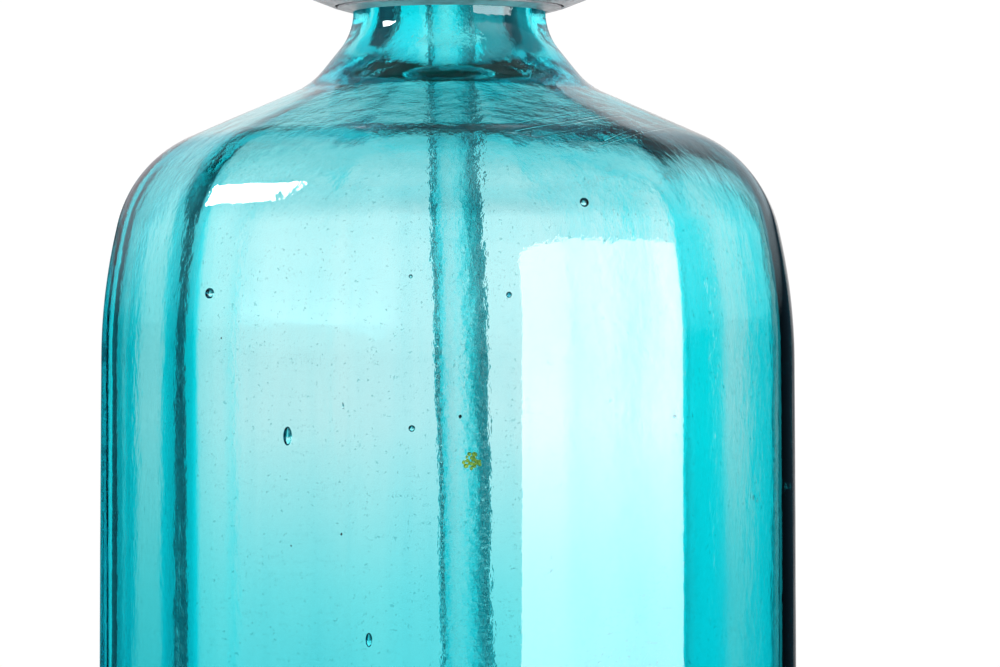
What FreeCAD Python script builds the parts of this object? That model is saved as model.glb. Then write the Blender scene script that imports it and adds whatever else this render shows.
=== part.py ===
"""A soda siphon: a twelve-panel glass bottle with a glass dip tube, and a pewter head with a lever valve.

Millimetres, +Z up. The origin is the centre of the standing ring. +X is the way the spout points, and the
lever reaches out along -X. Each sub-part is one function, and build() writes each to parts/NAME.step.
"""

import FreeCAD
import Part
import math
import os

# ---- driving dimensions -------------------------------------------------------------------------
# glass bottle
PANELS = 12                      # flat panels round the body
HEEL_R = 54.1                    # radius over the panel corners at the heel
SHOULDER_R = 53.1                # the same, where the shoulder starts
CORNER_TRIM = 0.994              # the corners are rounded off to this share of their radius
HEEL_ROUND = 8.0
SHOULDER_Z = 179.6               # where the wall starts to lean in
SHOULDER_ROUND = 90.0
SHOULDER_TOP_R = 48.9            # corner between the leaning wall and the slope of the shoulder
SHOULDER_TOP_Z = 199.6
SHOULDER_TOP_ROUND = 20.0
FLARE_R = 21.0                   # corner between the slope and the neck's flare
FLARE_Z = 211.6
FLARE_ROUND = 12.0
NECK_R = 14.5
NECK_FOOT_Z = 219.6              # corner between the flare and the neck
NECK_ROUND = 9.0
PANEL_TOP_R = 21.4               # the panels run out above this radius
PANEL_TOP_Z = 211.9
LIP_R = 16.9
LIP_Z = 232.3                    # underside of the lip, at its outer edge
FINISH_Z = 241.0                 # top of the glass
NECK_BORE_R = 8.3
MOUTH_R = 9.6                    # the top of the bore is wider, for the ferrule's flange
MOUTH_Z = 238.0
CAVITY_FOOT_R = 46.6
CAVITY_FLOOR_Z = 9.0
CAVITY_FOOT_ROUND = 12.0
CAVITY_CROWN_Z = 12.0            # the cavity's floor is domed in the middle
CAVITY_SHOULDER_R = 48.4
CAVITY_SHOULDER_Z = 178.5
CAVITY_SHOULDER_ROUND = 100.0
CAVITY_TOP_R = 44.6
CAVITY_TOP_Z = 197.1
CAVITY_TOP_ROUND = 17.0
CAVITY_NECK_Z = 213.9
CAVITY_NECK_ROUND = 14.0
PUNT_R = 39.0                    # hollow under the base
PUNT_DEPTH = 5.0

# dip tube
TUBE_R = 3.65
TUBE_BORE_R = 2.2
TUBE_TOP_Z = 248.5
TUBE_FOOT_Z = 16.0
TUBE_BEND_Z = 226.0              # below this it leans towards the spout
TUBE_LEAN_DEG = 1.2
TUBE_BEND_R = 260.0

# rubber sleeve that holds the tube, with a bead under the ferrule's end
SLEEVE_R = 5.5
SLEEVE_BEAD_R = 6.9
SLEEVE_FOOT_Z = 229.4
SLEEVE_TOP_Z = 248.4
HOLDER_FOOT_Z = 231.5
HOLDER_FLANGE_R = 9.2

# head: heights of the joints between its pieces
HEAD_Z = 243.0                   # underside of the casting
HOLDER_FLANGE_Z = 242.0
HOLDER_TOP_Z = 252.0
COLLAR_FOOT_Z = 222.7            # underside of the collar, where it meets the neck
SEAT_Z = 253.4                   # the valve rests here
PACKING_Z = 274.0
GLAND_Z = 277.1
GLAND_TOP_Z = 281.0
BARREL_TOP_Z = 293.0             # shoulder under the cap
WINDOW_TOP_Z = 291.7             # opening in the barrel that the lever's fork reaches through
WINDOW_FOOT_Z = 283.0
NECK_TOP_Z = 300.0               # top of the casting's threaded neck
CAP_SEAT_Z = 300.8
SPRING_TOP_Z = 307.2
GUIDE_TOP_Z = 311.5
HEAD_TOP_Z = 319.0

# head: radii
BARREL_R = 12.5
CHAMBER_R = 6.2
UPPER_BORE_R = 7.6
HOLDER_R = 7.9
FLANGE_R = 20.0                  # the casting's flange, which the collar nut screws onto
COLLAR_HOLE_R = 17.15
COLLAR_R = 24.2
COLLAR_GROOVE_R = 23.3
COLLAR_TOP_Z = 248.6
SPLIT_GAP = 0.3                  # between the two halves of the split ring
FLUTE_HEIGHTS = (235.0, 242.0)
CAP_R = 13.2
STEM_R = 2.4
PLUNGER_FLANGE_R = 6.2

# valve lever
PIVOT_X = -17.0                  # lever pin, from the plunger's axis
PIVOT_Z = 286.0
PRESS_DEG = 14.0
PIN_R = 1.55
PIN_CLEARANCE = 0.05
HUB_R = 4.0
HUB_HALF_WIDTH = 4.7
EAR_HALF_WIDTH = 8.2
SIDE_GAP = 0.3
FINGER_HALF_HEIGHT = 2.0
FORK_HALF_GAP = 2.9
LEVER_CREST = (-58.0, 293.5)     # x and z of the corners of the handle's upper edge
LEVER_TIP = (-72.0, 281.5)
LEVER_TAIL_X = -73.0
PAD_HALF_WIDTH = 7.5
LIFT_GAP = 0.15                  # between the fork and the plunger's flange at rest

# spout
SPOUT_ROOT_Z = 266.0
SPOUT_BEND = (52.0, 280.0)       # corner of its centre line, x and z
SPOUT_TIP = (70.0, 236.0)
SPOUT_BEND_R = 18.0
SPOUT_R = 6.2
SPOUT_BORE_R = 3.05
NOZZLE_LENGTH = 24.0
NOZZLE_GRIP_R = 7.6
NOZZLE_TIP_R = 5.2
NOZZLE_TIP_LENGTH = 10.0
THREAD_R = 5.0
THREAD_START = NOZZLE_LENGTH - 2      # from the spout's tip
THREAD_END = THREAD_START - 9.0
WASHER_THICKNESS = 1.2
LINER_BORE_R = 2.1
LINER_PROUD = 0.8

# return spring
SPRING_R = 4.9
WIRE_R = 0.6
SPRING_TURNS = 6.5

FIT = 0.05                       # radial gap of a screwed or pushed fit
ORIGIN = FreeCAD.Vector(0, 0, 0)
UP = FreeCAD.Vector(0, 0, 1)
ACROSS = FreeCAD.Vector(0, 1, 0)


# ---- shapes -------------------------------------------------------------------------------------
def in_side_view(x, z):
    return FreeCAD.Vector(x, 0, z)


def in_plan_view(x, y):
    return FreeCAD.Vector(x, y, 0)


def arc_at(before, corner, after, radius):
    """The tangent arc that rounds a corner off, as (start, middle, end)."""
    arriving = (corner - before).normalize()
    leaving = (after - corner).normalize()
    half_turn = arriving.getAngle(leaving) / 2
    setback = radius * math.tan(half_turn)
    inward = (leaving - arriving).normalize()
    middle = corner + inward * (radius / math.cos(half_turn) - radius)
    return corner - arriving * setback, middle, corner + leaving * setback


def rounded(corners, view=in_side_view, closed=True):
    """A wire through (x, z) or (x, z, radius) corners, each radius a tangent arc."""
    points = [view(c[0], c[1]) for c in corners]
    radii = [c[2] if len(c) > 2 else 0.0 for c in corners]
    count = len(points)
    edges = []
    first = last = None
    for i, point in enumerate(points):
        if radii[i]:
            start, middle, end = arc_at(points[i - 1], point, points[(i + 1) % count], radii[i])
            arc = Part.Arc(start, middle, end).toShape()
        else:
            start = end = point
            arc = None
        if last is not None and last.distanceToPoint(start) > 1e-6:
            edges.append(Part.LineSegment(last, start).toShape())
        if arc is not None:
            edges.append(arc)
        first = start if first is None else first
        last = end
    if closed and last.distanceToPoint(first) > 1e-6:
        edges.append(Part.LineSegment(last, first).toShape())
    return Part.Wire(edges)


def turned(corners):
    """The solid that a section of (radius, z) corners makes round the Z axis."""
    return Part.Face(rounded(corners)).revolve(ORIGIN, UP, 360)


def ring(inner, outer, low, high, chamfer=0.0):
    """A plain ring between two radii and two heights, with its outer edges broken."""
    corners = [(inner, low), (outer, low, chamfer), (outer, high, chamfer), (inner, high)]
    return turned(corners)


def rod(radius, start, end):
    """A round bar from one point to another."""
    way = end - start
    return Part.makeCylinder(radius, way.Length, start, way)


def box(low, high):
    low, high = FreeCAD.Vector(*low), FreeCAD.Vector(*high)
    size = high - low
    return Part.makeBox(size.x, size.y, size.z, low)


def slab(corners, view, half_depth):
    """A closed outline pushed out to both sides of its own plane."""
    way = (ACROSS if view is in_side_view else UP) * half_depth
    face = Part.Face(rounded(corners, view))
    face.translate(way * -1)
    return face.extrude(way * 2)


def pipe(path, radius):
    """A round bar along a wire, square to its first edge."""
    start = path.Edges[0]
    way = start.tangentAt(start.FirstParameter)
    circle = Part.Wire(Part.Circle(start.valueAt(start.FirstParameter), way, radius).toShape())
    return path.makePipeShell([circle], True, False)


def spread_round(tool, count):
    """Copies of a tool, evenly spaced round the Z axis."""
    copies = []
    for i in range(count):
        copy = tool.copy()
        copy.rotate(ORIGIN, UP, 360.0 * i / count)
        copies.append(copy)
    return copies


def fluted(shape, radius, low, high, count, groove_r):
    """The shape with upright grooves cut round it, for the fingers."""
    tool = rod(groove_r, FreeCAD.Vector(radius, 0, low), FreeCAD.Vector(radius, 0, high))
    ends = [Part.makeSphere(groove_r, FreeCAD.Vector(radius, 0, z)) for z in (low, high)]
    return shape.cut(spread_round(tool.fuse(ends), count))


# ---- bottle and dip tube ------------------------------------------------------------------------
def panel_pair(turn):
    """The slab between two opposite panels' planes, turned round the axis by so many degrees."""
    flat = math.cos(math.pi / PANELS)        # a panel's distance over its corners' radius
    side = [
        (HEEL_R * flat, -5), (SHOULDER_R * flat, SHOULDER_Z, SHOULDER_ROUND),
        (SHOULDER_TOP_R * flat, SHOULDER_TOP_Z, SHOULDER_TOP_ROUND), (PANEL_TOP_R, PANEL_TOP_Z),
        (PANEL_TOP_R, 250),
    ]
    other_side = [(-c[0], *c[1:]) for c in reversed(side)]
    pair = slab(side + other_side, in_side_view, 70)
    pair.rotate(ORIGIN, UP, turn)
    return pair


def glass_bottle():
    """A turned blank, cut flat by the panels and hollowed out. The inside is round, as blown glass is."""
    trim = CORNER_TRIM
    blank = turned([
        (0, 0), (HEEL_R * trim, 0, HEEL_ROUND), (SHOULDER_R * trim, SHOULDER_Z, SHOULDER_ROUND),
        (SHOULDER_TOP_R * trim, SHOULDER_TOP_Z, SHOULDER_TOP_ROUND), (FLARE_R, FLARE_Z, FLARE_ROUND),
        (NECK_R, NECK_FOOT_Z, NECK_ROUND), (NECK_R - 0.1, LIP_Z - (LIP_R - NECK_R)), (LIP_R, LIP_Z, 1),
        (LIP_R, FINISH_Z, 1), (0, FINISH_Z),
    ])
    cavity = turned([
        (0, CAVITY_CROWN_Z), (CAVITY_FOOT_R, CAVITY_FLOOR_Z, CAVITY_FOOT_ROUND),
        (CAVITY_SHOULDER_R, CAVITY_SHOULDER_Z, CAVITY_SHOULDER_ROUND),
        (CAVITY_TOP_R, CAVITY_TOP_Z, CAVITY_TOP_ROUND), (NECK_BORE_R, CAVITY_NECK_Z, CAVITY_NECK_ROUND),
        (NECK_BORE_R, MOUTH_Z - 1.5), (MOUTH_R, MOUTH_Z), (MOUTH_R, FINISH_Z + 1), (0, FINISH_Z + 1),
    ])
    punt_ball_r = (PUNT_R ** 2 + PUNT_DEPTH ** 2) / (2 * PUNT_DEPTH)
    punt = Part.makeSphere(punt_ball_r, FreeCAD.Vector(0, 0, PUNT_DEPTH - punt_ball_r))
    for i in range(PANELS // 2):
        blank = blank.common(panel_pair(360.0 * i / PANELS))
    return blank.cut([cavity, punt])


def dip_tube_path():
    """Upright in its sleeve, then leaning a little towards the spout."""
    drop = TUBE_BEND_Z - TUBE_FOOT_Z
    foot_x = drop * math.tan(math.radians(TUBE_LEAN_DEG))
    return rounded([(0, TUBE_TOP_Z), (0, TUBE_BEND_Z, TUBE_BEND_R), (foot_x, TUBE_FOOT_Z)], closed=False)


def dip_tube():
    path = dip_tube_path()
    return pipe(path, TUBE_R).cut(pipe(path, TUBE_BORE_R))


def tube_sleeve():
    """Rubber sleeve, pushed onto the tube and into the holder, with a bead under the holder's end."""
    inner = TUBE_R + FIT
    bead_top = HOLDER_FOOT_Z - 0.1
    return turned([
        (inner, SLEEVE_FOOT_Z), (SLEEVE_BEAD_R, SLEEVE_FOOT_Z, 0.8), (SLEEVE_BEAD_R, bead_top, 0.8),
        (SLEEVE_R, bead_top), (SLEEVE_R, SLEEVE_TOP_Z, 0.5), (inner, SLEEVE_TOP_Z),
    ])


def tube_holder():
    """Ferrule that screws up into the head. Its top is the valve's seat."""
    bore_r = SLEEVE_R + FIT
    flange_foot_z = HOLDER_FLANGE_Z - 2.6
    return turned([
        (bore_r, HOLDER_FOOT_Z), (7.4, HOLDER_FOOT_Z, 0.6), (7.4, flange_foot_z),
        (HOLDER_FLANGE_R, flange_foot_z, 0.5), (HOLDER_FLANGE_R, HOLDER_FLANGE_Z),
        (HOLDER_R, HOLDER_FLANGE_Z), (HOLDER_R, HOLDER_TOP_Z, 0.5), (4.4, HOLDER_TOP_Z), (4.0, SEAT_Z),
        (TUBE_BORE_R, SEAT_Z), (TUBE_BORE_R, SLEEVE_TOP_Z + 0.6), (bore_r, SLEEVE_TOP_Z + 0.6),
    ])


def holder_gasket():
    return ring(HOLDER_R + FIT, HOLDER_FLANGE_R, HOLDER_FLANGE_Z, HEAD_Z)


def neck_gasket():
    return ring(MOUTH_R + 0.1, LIP_R - 0.5, FINISH_Z, HEAD_Z, 0.4)


# ---- collar -------------------------------------------------------------------------------------
def split_ring(side):
    """Half of the ring that grips under the glass lip. side is +1 or -1 along Y."""
    inner = NECK_R + FIT
    outer = COLLAR_HOLE_R - 0.3
    shelf_r = FLANGE_R - 0.2
    shelf_z = COLLAR_FOOT_Z + 5.6
    lip_foot_z = LIP_Z - (LIP_R - NECK_R)
    whole = turned([
        (inner, COLLAR_FOOT_Z), (outer, COLLAR_FOOT_Z + 0.6, 0.3), (outer, shelf_z - (shelf_r - outer)),
        (shelf_r, shelf_z), (shelf_r, LIP_Z - 0.1), (LIP_R + 2 * FIT, LIP_Z - 0.1), (inner, lip_foot_z - 0.1),
    ])
    low_y, high_y = (SPLIT_GAP / 2, 30) if side > 0 else (-30, -SPLIT_GAP / 2)
    return whole.common(box((-30, low_y, COLLAR_FOOT_Z - 1), (30, high_y, LIP_Z)))


def collar_nut():
    """Screwed ring that pulls the head down onto the lip. Its lower lip is a bell, and its band is fluted."""
    groove = COLLAR_GROOVE_R
    shelf_z = COLLAR_FOOT_Z + 5.75
    bore_r = FLANGE_R + FIT
    body = turned([
        (COLLAR_HOLE_R, COLLAR_FOOT_Z + 0.65, 0.3), (22.6, COLLAR_FOOT_Z + 2.8, 5), (COLLAR_R, 229.2, 3),
        (COLLAR_R, 230.6, 0.7), (groove, 231.2, 0.5), (groove, 232.2, 0.5), (COLLAR_R, 232.8, 0.7),
        (COLLAR_R, 244.2, 0.7), (groove, 244.8, 0.5), (groove, 245.8, 0.5), (22.6, COLLAR_TOP_Z, 1.2),
        (bore_r, COLLAR_TOP_Z), (bore_r, shelf_z), (COLLAR_HOLE_R, shelf_z - (bore_r - COLLAR_HOLE_R)),
    ])
    return fluted(body, COLLAR_R + 0.45, *FLUTE_HEIGHTS, 40, 1.0)


# ---- head casting -------------------------------------------------------------------------------
def spout_direction():
    return FreeCAD.Vector(SPOUT_TIP[0] - SPOUT_BEND[0], 0, SPOUT_TIP[1] - SPOUT_BEND[1]).normalize()


def along_spout(distance):
    """A point on the spout's last run, that far back from its tip."""
    return in_side_view(*SPOUT_TIP) - spout_direction() * distance


def spout_path(back_from_tip):
    end = along_spout(back_from_tip)
    return rounded([(0, SPOUT_ROOT_Z), (*SPOUT_BEND, SPOUT_BEND_R), (end.x, end.z)], closed=False)


def set_on_spout(shape):
    """Turns a shape made on the Z axis, with the tip at its origin, onto the spout's last run."""
    back = spout_direction() * -1
    shape.rotate(ORIGIN, ACROSS, math.degrees(math.atan2(back.x, back.z)))
    shape.translate(along_spout(0))
    return shape


def on_spout(section):
    """A turned section of (radius, distance from the tip) corners, set on the spout's last run."""
    return set_on_spout(turned(section))


def spout_tube():
    """The curved tube with its root swelling, its end collar and the threaded end for the nozzle."""
    tube = pipe(spout_path(THREAD_START), SPOUT_R)
    rise = FreeCAD.Vector(SPOUT_BEND[0], 0, SPOUT_BEND[1] - SPOUT_ROOT_Z).normalize()
    root_start = in_side_view(0, SPOUT_ROOT_Z)
    root = Part.makeCone(10.5, SPOUT_R, 24, root_start, rise)
    bead_at = root_start + rise * 26
    bead = Part.makeTorus(SPOUT_R - 0.2, 1.3, bead_at, rise)
    end_collar = on_spout([
        (0, THREAD_START), (7.2, THREAD_START, 0.6), (7.2, THREAD_START + 2.6, 0.6), (0, THREAD_START + 2.6),
    ])
    thread = on_spout([
        (0, THREAD_END), (THREAD_R, THREAD_END), (THREAD_R, THREAD_START), (0, THREAD_START),
    ])
    return tube.fuse([root, bead, end_collar, thread])


def lever_ears():
    """The two lugs that hold the lever's pin."""
    outer = slab([
        (-8, PIVOT_Z - 5.2), (PIVOT_X - 4.6, PIVOT_Z - 4.6, 4.5), (PIVOT_X - 4.6, PIVOT_Z + 4.6, 4.5),
        (-8, PIVOT_Z + 4.6),
    ], in_side_view, EAR_HALF_WIDTH)
    gap_y = HUB_HALF_WIDTH + SIDE_GAP
    gap = box((-30, -gap_y, PIVOT_Z - 10), (-BARREL_R + 0.5, gap_y, PIVOT_Z + 10))
    return outer.cut(gap)


def head_casting():
    """Barrel, spout and lever ears in one casting, bored from below and above."""
    barrel = turned([
        (0, HEAD_Z), (FLANGE_R, HEAD_Z), (FLANGE_R, 249.2, 0.8), (17.2, 249.8, 1), (15.4, 252.6, 3),
        (BARREL_R, 254.6, 1.5), (BARREL_R, 256.4), (13.4, 257.0, 0.6), (13.4, 258.6, 0.6), (BARREL_R, 259.2),
        (BARREL_R, BARREL_TOP_Z, 0.6), (10.6, BARREL_TOP_Z), (10.6, NECK_TOP_Z, 0.5), (0, NECK_TOP_Z),
    ])
    gap_y = HUB_HALF_WIDTH + SIDE_GAP
    window = box((-BARREL_R - 2, -gap_y, WINDOW_FOOT_Z), (-4, gap_y, WINDOW_TOP_Z))
    bores = [
        rod(HOLDER_R + FIT, in_side_view(0, HEAD_Z - 1), in_side_view(0, HOLDER_TOP_Z)),
        rod(CHAMBER_R, in_side_view(0, HOLDER_TOP_Z - 1), in_side_view(0, PACKING_Z)),
        rod(UPPER_BORE_R, in_side_view(0, PACKING_Z), in_side_view(0, NECK_TOP_Z + 1)),
    ]
    pin_hole = rod(PIN_R, FreeCAD.Vector(PIVOT_X, -20, PIVOT_Z), FreeCAD.Vector(PIVOT_X, 20, PIVOT_Z))
    waterway = pipe(spout_path(THREAD_END - 1), SPOUT_BORE_R)
    solid = barrel.fuse([spout_tube(), lever_ears()])
    return solid.cut(bores + [window, pin_hole, waterway])


def spout_nozzle():
    """Screwed on the spout's end. The bare tip is what a filling hose pushes onto."""
    washer_z = THREAD_END - WASHER_THICKNESS
    grip_end = THREAD_START - 0.1
    nozzle = on_spout([
        (SPOUT_BORE_R, 0), (NOZZLE_TIP_R, 0, 0.5), (NOZZLE_TIP_R, NOZZLE_TIP_LENGTH),
        (NOZZLE_GRIP_R, NOZZLE_TIP_LENGTH + 1.2, 0.6), (NOZZLE_GRIP_R, grip_end, 0.6),
        (THREAD_R + FIT, grip_end), (THREAD_R + FIT, washer_z), (SPOUT_BORE_R, washer_z),
    ])
    groove_r = NOZZLE_GRIP_R + 0.3
    groove = rod(0.7, in_side_view(groove_r, NOZZLE_TIP_LENGTH + 2.6), in_side_view(groove_r, grip_end - 1.5))
    grooves = [set_on_spout(tool) for tool in spread_round(groove, 24)]
    return nozzle.cut(grooves)


def nozzle_washer():
    low, high = THREAD_END - WASHER_THICKNESS, THREAD_END
    return on_spout([(SPOUT_BORE_R, low), (THREAD_R, low), (THREAD_R, high), (SPOUT_BORE_R, high)])


def spout_liner():
    """Glass lining that keeps the soda off the metal, standing a little proud of the nozzle."""
    outer = SPOUT_BORE_R - FIT
    return on_spout([
        (LINER_BORE_R, -LINER_PROUD), (outer, -LINER_PROUD, 0.3), (outer, THREAD_START),
        (LINER_BORE_R, THREAD_START),
    ])


# ---- valve --------------------------------------------------------------------------------------
def plunger_flange_z():
    return PIVOT_Z + FINGER_HALF_HEIGHT + LIFT_GAP


def plunger():
    """Stem with a cup for the valve disc at its foot, and the flange that the lever lifts."""
    low = plunger_flange_z()
    return turned([
        (0, 257.0), (4.65, 257.0), (4.65, 255.4), (5.4, 255.4, 0.3), (5.4, 258.6, 0.6), (STEM_R, 260.4, 1),
        (STEM_R, low), (PLUNGER_FLANGE_R, low, 0.4), (PLUNGER_FLANGE_R, low + 2, 0.4), (STEM_R, low + 2),
        (STEM_R, 306.5, 0.6), (0, 306.5),
    ])


def valve_disc():
    return turned([(0, SEAT_Z), (4.6, SEAT_Z, 0.3), (4.6, 257.0), (0, 257.0)])


def packing_washer():
    return ring(STEM_R + FIT, UPPER_BORE_R - FIT, PACKING_Z, GLAND_Z - 0.1)


def gland_ring():
    """Screwed down on the packing, with two slots for a pin spanner."""
    body = ring(STEM_R + 3 * FIT, UPPER_BORE_R - FIT, GLAND_Z, GLAND_TOP_Z, 0.3)
    slots = box((-0.9, -10, GLAND_TOP_Z - 1.4), (0.9, 10, GLAND_TOP_Z + 1))
    return body.cut(slots)


def return_spring():
    """Compression spring round the stem, between the plunger's flange and the cap."""
    low = plunger_flange_z() + 2 + WIRE_R + 0.05
    high = SPRING_TOP_Z - WIRE_R - 0.05
    helix = Part.makeHelix((high - low) / SPRING_TURNS, high - low, SPRING_R)
    helix.translate(FreeCAD.Vector(0, 0, low))
    return pipe(Part.Wire(helix.Edges), WIRE_R)


def cap_gasket():
    return ring(UPPER_BORE_R + 0.1, 10.4, NECK_TOP_Z, CAP_SEAT_Z)


def cap_nut():
    """Domed cap with a small knob. It closes the spring chamber and guides the stem's top."""
    foot_z = BARREL_TOP_Z + 0.4
    thread_r = 10.65
    body = turned([
        (thread_r, foot_z), (CAP_R, foot_z, 0.6), (CAP_R, 301.6, 0.8), (11.6, 302.4, 0.6), (11.2, 306.4, 4),
        (6.0, 311.8, 4), (3.2, 312.6, 1.2), (3.2, 313.8, 0.6), (5.2, 314.6, 2), (5.2, 317.0, 2.2),
        (2.4, HEAD_TOP_Z, 3), (0, HEAD_TOP_Z), (0, GUIDE_TOP_Z), (STEM_R + 0.35, GUIDE_TOP_Z),
        (STEM_R + 0.35, SPRING_TOP_Z), (6.4, SPRING_TOP_Z), (6.4, CAP_SEAT_Z), (thread_r, CAP_SEAT_Z),
    ])
    return fluted(body, CAP_R + 0.35, BARREL_TOP_Z + 2.4, 299.6, 28, 0.8)


def lever_handle():
    """The curved thumb piece: its outline from the side, cut to its outline from above."""
    tail = LEVER_TAIL_X
    side = slab([
        (PIVOT_X, PIVOT_Z + 3.8), (-34, 297.5, 18), (*LEVER_CREST, 26), (*LEVER_TIP, 1.3), (-70, 279.2, 1.3),
        (-57, 289.4, 24), (-34.5, 293.2, 15), (PIVOT_X, PIVOT_Z - 3.8),
    ], in_side_view, 20)
    half_plan = [
        (PIVOT_X, HUB_HALF_WIDTH), (-28, HUB_HALF_WIDTH, 10), (-50, PAD_HALF_WIDTH, 20),
        (tail, PAD_HALF_WIDTH, PAD_HALF_WIDTH - 0.1),
    ]
    other_half = [(c[0], -c[1], *c[2:]) for c in reversed(half_plan)]
    return side.common(slab(half_plan + other_half, in_plan_view, 400))


def lever_grips():
    """Cross grooves on the thumb pad."""
    start = in_side_view(*LEVER_CREST)
    fall = (in_side_view(*LEVER_TIP) - start).normalize()
    across = ACROSS * (2 * HUB_HALF_WIDTH)
    places = [start + fall * (8.0 + 1.9 * i) for i in range(5)]
    return [rod(0.55, place - across, place + across) for place in places]


def lever():
    """Thumb lever. Its fork reaches in through the barrel's window and lifts the plunger's flange."""
    half, finger = HUB_HALF_WIDTH, FINGER_HALF_HEIGHT
    pivot = in_side_view(PIVOT_X, PIVOT_Z)
    tip = in_side_view(0, PIVOT_Z)
    across = ACROSS * half
    hub = rod(HUB_R, pivot - across, pivot + across)
    finger_end = rod(finger, tip - across, tip + across)
    finger_bar = box((PIVOT_X, -half, PIVOT_Z - finger), (0, half, PIVOT_Z + finger))
    fork_gap = box((-4.5, -FORK_HALF_GAP, PIVOT_Z - 5), (5, FORK_HALF_GAP, PIVOT_Z + 5))
    bore = rod(PIN_R + PIN_CLEARANCE, pivot - across * 2, pivot + across * 2)
    return lever_handle().fuse([hub, finger_bar, finger_end]).cut([fork_gap, bore] + lever_grips())


def lever_pin():
    """Rivet through the ears, with a domed head on each side."""
    ends = [FreeCAD.Vector(PIVOT_X, side * EAR_HALF_WIDTH, PIVOT_Z) for side in (-1, 1)]
    dome_y = EAR_HALF_WIDTH + 1.3
    balls = [Part.makeSphere(2.6, end) for end in ends]
    inside = box((PIVOT_X - 4, -EAR_HALF_WIDTH, PIVOT_Z - 4), (PIVOT_X + 4, EAR_HALF_WIDTH, PIVOT_Z + 4))
    between = box((PIVOT_X - 4, -dome_y, PIVOT_Z - 4), (PIVOT_X + 4, dome_y, PIVOT_Z + 4))
    heads = [ball.cut(inside).common(between) for ball in balls]
    return rod(PIN_R, *ends).fuse(heads)


# ---- output -------------------------------------------------------------------------------------
def build():
    parts = {
        "glass_bottle": glass_bottle(),
        "dip_tube": dip_tube(),
        "tube_sleeve": tube_sleeve(),
        "tube_holder": tube_holder(),
        "holder_gasket": holder_gasket(),
        "neck_gasket": neck_gasket(),
        "split_ring_front": split_ring(-1),
        "split_ring_back": split_ring(+1),
        "collar_nut": collar_nut(),
        "head_casting": head_casting(),
        "spout_nozzle": spout_nozzle(),
        "nozzle_washer": nozzle_washer(),
        "spout_liner": spout_liner(),
        "plunger": plunger(),
        "valve_disc": valve_disc(),
        "packing_washer": packing_washer(),
        "gland_ring": gland_ring(),
        "return_spring": return_spring(),
        "cap_gasket": cap_gasket(),
        "cap_nut": cap_nut(),
        "lever": lever(),
        "lever_pin": lever_pin(),
    }
    os.makedirs("parts", exist_ok=True)
    for name, shape in parts.items():
        shape = shape.removeSplitter()
        print(f"{name}: {len(shape.Solids)} solid, valid {shape.isValid()}, {shape.Volume:.0f} mm3")
        solids = shape.Solids
        result = solids[0] if len(solids) == 1 else Part.makeCompound(solids)
        result.exportStep(f"parts/{name}.step")


build()
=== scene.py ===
"""A soda siphon in turquoise glass with a pewter head, on a pale floor against a white backdrop."""

import math
import random

import bmesh
import bpy
from mathutils import Matrix, Quaternion, Vector, noise


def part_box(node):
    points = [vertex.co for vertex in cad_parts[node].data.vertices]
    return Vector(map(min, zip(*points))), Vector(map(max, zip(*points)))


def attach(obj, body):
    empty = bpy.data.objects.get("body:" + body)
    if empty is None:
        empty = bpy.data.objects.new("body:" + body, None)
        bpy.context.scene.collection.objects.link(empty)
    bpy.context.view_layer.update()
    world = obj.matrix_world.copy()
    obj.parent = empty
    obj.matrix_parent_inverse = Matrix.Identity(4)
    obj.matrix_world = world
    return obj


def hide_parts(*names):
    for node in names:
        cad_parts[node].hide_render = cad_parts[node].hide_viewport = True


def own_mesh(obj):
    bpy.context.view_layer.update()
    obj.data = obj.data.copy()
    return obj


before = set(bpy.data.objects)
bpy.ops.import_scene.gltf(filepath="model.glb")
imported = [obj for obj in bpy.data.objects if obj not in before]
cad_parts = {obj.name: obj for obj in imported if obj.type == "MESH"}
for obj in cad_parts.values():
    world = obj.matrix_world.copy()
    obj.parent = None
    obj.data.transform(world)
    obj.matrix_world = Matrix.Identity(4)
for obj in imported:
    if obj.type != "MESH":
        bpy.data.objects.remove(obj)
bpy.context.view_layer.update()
MM = 0.001


def placed(name, data):
    """A new object in the scene."""
    obj = bpy.data.objects.new(name, data)
    bpy.context.collection.objects.link(obj)
    return obj


# ---- camera --------------------------------------------------------------------------------------
CAMERA_AZIMUTH = math.radians(4.0)
CAMERA_DISTANCE = 1.59
CAMERA_HEIGHT = 0.096
AIM_HEIGHT = 0.1744
AIM_ASIDE = 0.0076          # the bottle stands a little left of the middle of the picture
LENS = 382.0


def make_camera():
    data = bpy.data.cameras.new("camera")
    data.lens = LENS
    data.sensor_width = 36.0
    data.clip_start, data.clip_end = 0.05, 60.0
    camera = placed("camera", data)
    right = Vector((math.cos(CAMERA_AZIMUTH), math.sin(CAMERA_AZIMUTH), 0))
    back = Vector((math.sin(CAMERA_AZIMUTH), -math.cos(CAMERA_AZIMUTH), 0))
    camera.location = back * CAMERA_DISTANCE + Vector((0, 0, CAMERA_HEIGHT))
    aim = right * AIM_ASIDE + Vector((0, 0, AIM_HEIGHT))
    camera.rotation_mode = "QUATERNION"
    camera.rotation_quaternion = (aim - camera.location).to_track_quat("-Z", "Y")
    bpy.context.scene.camera = camera


# ---- node helpers --------------------------------------------------------------------------------
MIX_INPUTS = (0, 6, 7)      # a Mix node's factor and its two colours
MIX_OUTPUT = 2              # its mixed colour


def new_material(name):
    material = bpy.data.materials.new(name)
    material.use_nodes = True
    tree = material.node_tree
    tree.nodes.clear()
    output = tree.nodes.new("ShaderNodeOutputMaterial")
    shader = tree.nodes.new("ShaderNodeBsdfPrincipled")
    tree.links.new(shader.outputs[0], output.inputs["Surface"])
    return material, tree, shader, output


def add(tree, kind, **values):
    """A node with its properties and input values set by name."""
    node = tree.nodes.new(kind)
    for key, value in values.items():
        if hasattr(node, key):
            setattr(node, key, value)
        else:
            node.inputs[key.replace("_", " ")].default_value = value
    return node


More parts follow.
